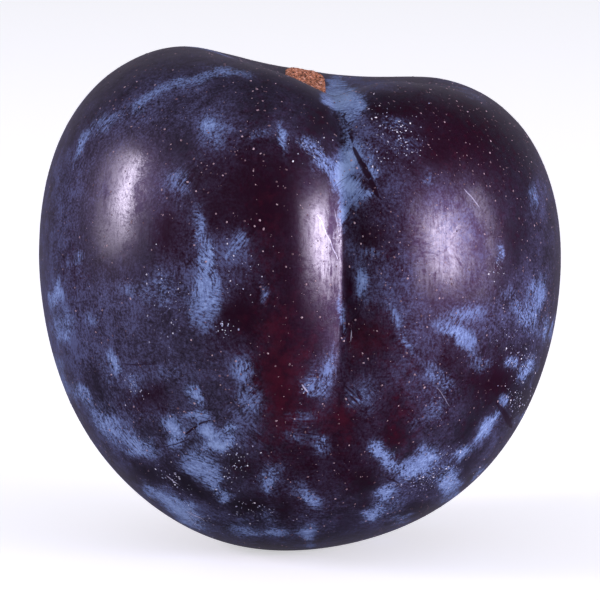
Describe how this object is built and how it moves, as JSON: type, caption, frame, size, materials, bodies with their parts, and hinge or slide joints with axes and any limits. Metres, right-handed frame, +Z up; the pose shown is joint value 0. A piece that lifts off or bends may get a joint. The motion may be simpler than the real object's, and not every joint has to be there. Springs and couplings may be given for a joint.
{
  "type": "plum",
  "caption": "Whole dark plum with a suture down its front, a funnel with a patch of cork where the stem was, and a small flat spot that it stands on.",
  "frame": {"origin": "on the surface that the plum stands on, under the middle of the fruit", "axes": "+Z up from the blossom end to the stem end, -Y the side with the suture, +X to the right as seen from that side"},
  "size_m": [0.0616, 0.0581, 0.0593],
  "materials": {
    "skin": "dark waxy skin under patches of blue bloom, with pale lenticels",
    "cork": "rough, grainy, orange-brown cork"
  },
  "bodies": {
    "root": {"plum": "skin"}
  },
  "joints": []
}
